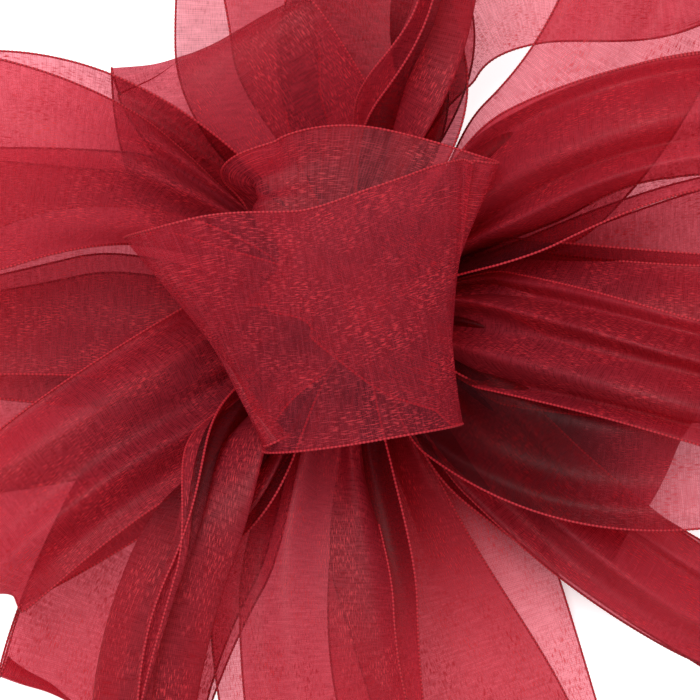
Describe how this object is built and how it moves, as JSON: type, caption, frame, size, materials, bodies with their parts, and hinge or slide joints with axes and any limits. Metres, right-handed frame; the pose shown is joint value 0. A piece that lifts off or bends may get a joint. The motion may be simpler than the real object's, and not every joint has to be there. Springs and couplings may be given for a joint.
{
  "type": "gift bow",
  "caption": "Hand-tied gift bow of sheer organza ribbon with a centre loop, loops all round, two tails and a wire tie at its back.",
  "frame": {"origin": "middle of the flat back of the bow's waist, where it rests on a parcel", "axes": "+Z out of the bow's face, away from the parcel; +Y towards the top loop, with the tails leaving towards -Y"},
  "size_m": [0.1472, 0.1893, 0.0509],
  "materials": {
    "organza": "sheer",
    "tie_paper": "matte"
  },
  "bodies": {
    "bow": {"centre_loop": "organza", "loop_top": "organza", "loop_top_left": "organza", "loop_top_narrow": "organza", "loop_upper_right": "organza", "loop_right_upper": "organza", "loop_right_back": "organza", "loop_right": "organza", "loop_right_lower": "organza", "loop_right_under": "organza", "loop_lower_right": "organza", "loop_bottom": "organza", "loop_bottom_left": "organza", "loop_lower_left": "organza", "loop_left_low": "organza", "loop_left_under": "organza", "loop_left": "organza", "loop_left_upper": "organza", "tail_front": "organza", "tail_back": "organza", "waist_gather": "organza", "waist_tie": "tie_paper"},
    "leg_left": {"tie_leg_left": "tie_paper"},
    "leg_right": {"tie_leg_right": "tie_paper"}
  },
  "joints": [
    {"name": "leg_left_bend", "type": "hinge", "parent": "bow", "child": "leg_left", "pos_m": [0.01076, -0.00742, 0.00035], "axis": [0.6157, 0.788, 0], "range_deg": [0, 90]},
    {"name": "leg_right_bend", "type": "hinge", "parent": "bow", "child": "leg_right", "pos_m": [0.01272, -0.00303, 0.00035], "axis": [0.1736, 0.9848, 0], "range_deg": [0, 90]}
  ]
}
